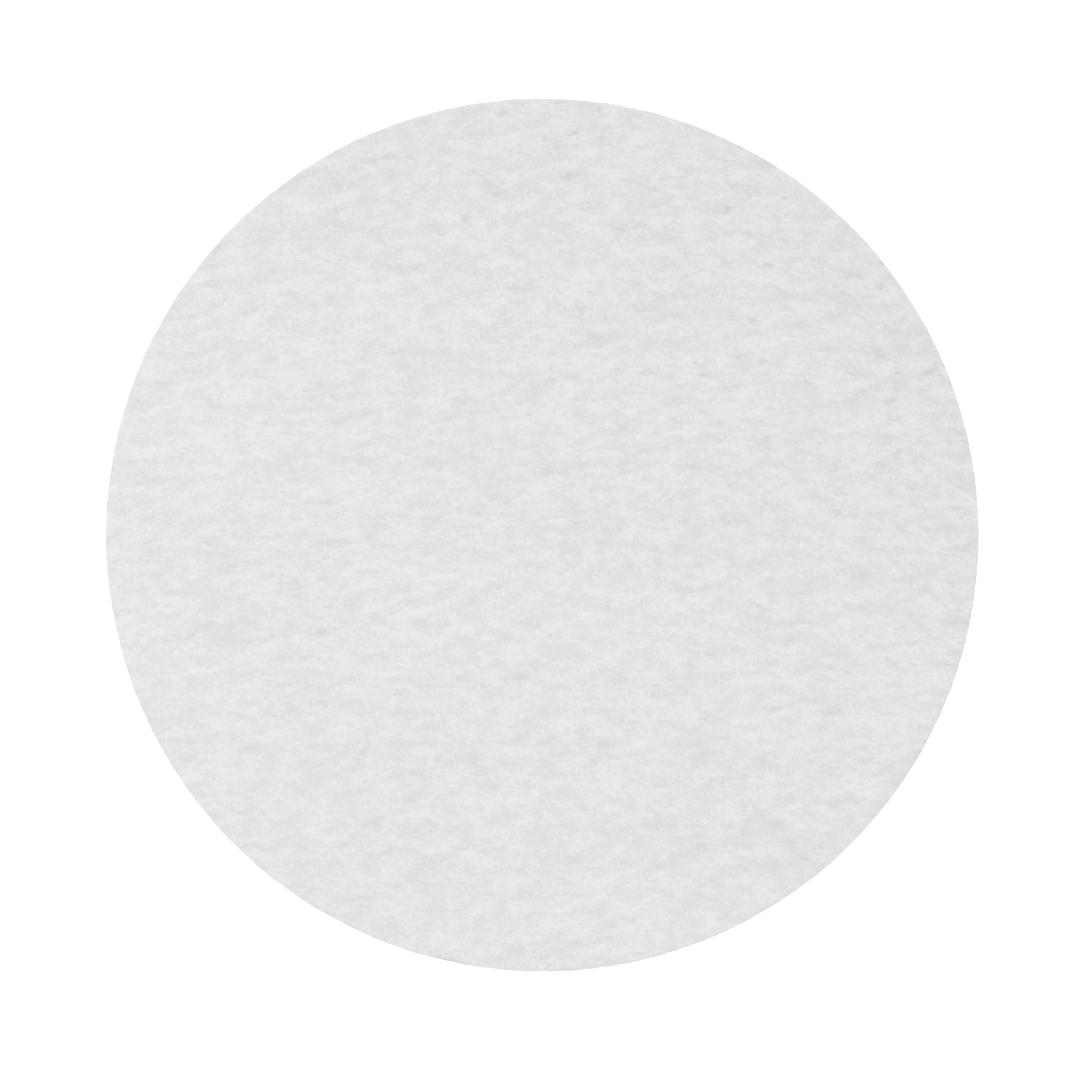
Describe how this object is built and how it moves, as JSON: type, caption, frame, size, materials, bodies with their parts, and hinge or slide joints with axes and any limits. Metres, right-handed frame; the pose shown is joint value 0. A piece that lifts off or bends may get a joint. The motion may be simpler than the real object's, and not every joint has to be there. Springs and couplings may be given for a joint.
{
  "type": "felt polishing disc",
  "caption": "Flat round white felt polishing disc for a lapidary flat lap, with a self-adhesive back on a paper release liner.",
  "frame": {"origin": "centre of the release liner's underside, where the disc rests on a flat surface", "axes": "+Z along the disc's axis of symmetry, out of the polishing face; X and Y lie in the disc's plane and are interchangeable"},
  "size_m": [0.2032, 0.2032, 0.0037],
  "materials": {
    "white_felt": "matt pressed wool felt",
    "clear_adhesive": "clear, tacky, slightly glossy acrylic adhesive",
    "polyester_film": "clear gloss film",
    "liner_paper": "bleached kraft paper with a satin silicone coat"
  },
  "bodies": {
    "liner": {"release_liner": "liner_paper"},
    "pad": {"felt_pad": "white_felt", "felt_side_adhesive": "clear_adhesive", "carrier_film": "polyester_film", "lap_side_adhesive": "clear_adhesive"}
  },
  "joints": [
    {"name": "liner_release", "type": "slide", "parent": "liner", "child": "pad", "axis": [0, 0, 1], "range_m": [0, 0.05]}
  ]
}
